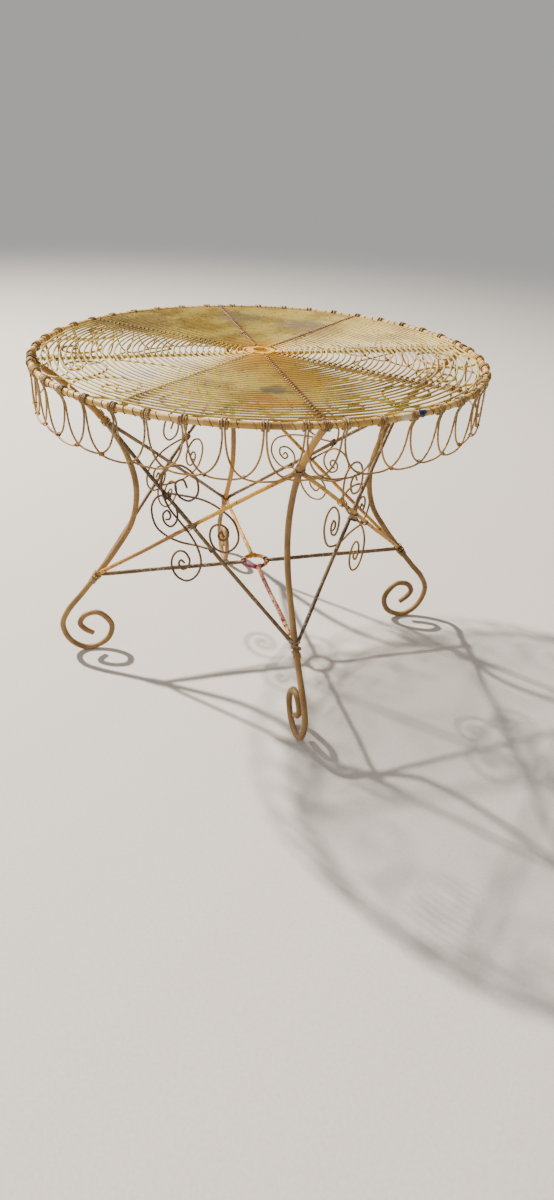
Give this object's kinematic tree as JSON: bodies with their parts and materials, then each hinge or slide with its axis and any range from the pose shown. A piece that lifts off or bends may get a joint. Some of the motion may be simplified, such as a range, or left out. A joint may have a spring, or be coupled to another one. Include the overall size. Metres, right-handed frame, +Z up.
{
  "type": "round wirework garden table",
  "caption": "Round garden table of painted steel wire: spiral wire top, scalloped apron, scroll-footed legs, crossed braces with volutes and a parasol hole.",
  "frame": {"origin": "on the floor, under the centre of the round top", "axes": "+Z up; legs stand on the +X, +Y, -X and -Y axes"},
  "size_m": [1, 1, 0.75],
  "materials": {
    "rim_paint": "chalky straw and peach paint, chipped at the ties",
    "top_wire_paint": "sun-bleached straw paint",
    "hub_paint": "orange-yellow paint, less faded",
    "leg_paint": "ochre paint over a smooth bar",
    "brace_paint": "ochre-brown paint with worn edges",
    "dark_wire_paint": "dark brown weathered paint with traces of ochre",
    "apron_paint": "ochre paint on thin tied wire",
    "worn_rose_paint": "old rose paint showing through worn ochre"
  },
  "bodies": {
    "root": {"apron_wire_inner": "apron_paint", "apron_wire_outer": "apron_paint", "brace_inner_1": "brace_paint", "brace_inner_2": "brace_paint", "brace_inner_3": "brace_paint", "brace_inner_4": "brace_paint", "brace_outer_1": "brace_paint", "brace_outer_2": "brace_paint", "brace_outer_3": "brace_paint", "brace_outer_4": "brace_paint", "far_volute_1": "dark_wire_paint", "far_volute_2": "dark_wire_paint", "far_volute_3": "dark_wire_paint", "far_volute_4": "dark_wire_paint", "flat_scroll_1": "top_wire_paint", "flat_scroll_2": "top_wire_paint", "flat_scroll_3": "top_wire_paint", "flat_scroll_4": "top_wire_paint", "flat_scroll_5": "top_wire_paint", "flat_scroll_6": "top_wire_paint", "flat_scroll_7": "top_wire_paint", "flat_scroll_8": "top_wire_paint", "hub_ring": "hub_paint", "leg_1": "leg_paint", "leg_2": "leg_paint", "leg_3": "leg_paint", "leg_4": "leg_paint", "lower_binding_1": "apron_paint", "lower_binding_2": "apron_paint", "lower_binding_3": "apron_paint", "lower_binding_4": "apron_paint", "middle_volute_1": "dark_wire_paint", "middle_volute_2": "dark_wire_paint", "middle_volute_3": "dark_wire_paint", "middle_volute_4": "dark_wire_paint", "pole_ring": "worn_rose_paint", "rim_hoop": "rim_paint", "side_volute_1": "dark_wire_paint", "side_volute_2": "dark_wire_paint", "side_volute_3": "dark_wire_paint", "side_volute_4": "dark_wire_paint", "spoke_1": "worn_rose_paint", "spoke_2": "worn_rose_paint", "spoke_3": "worn_rose_paint", "spoke_4": "worn_rose_paint", "spoke_5": "worn_rose_paint", "spoke_6": "worn_rose_paint", "spoke_7": "worn_rose_paint", "spoke_8": "worn_rose_paint", "star_wire": "top_wire_paint", "stretcher_1": "brace_paint", "stretcher_2": "brace_paint", "stretcher_3": "brace_paint", "stretcher_4": "worn_rose_paint", "top_spiral_wire": "top_wire_paint", "upper_binding_1": "apron_paint", "upper_binding_2": "apron_paint", "upper_binding_3": "apron_paint", "upper_binding_4": "apron_paint"}
  },
  "joints": []
}
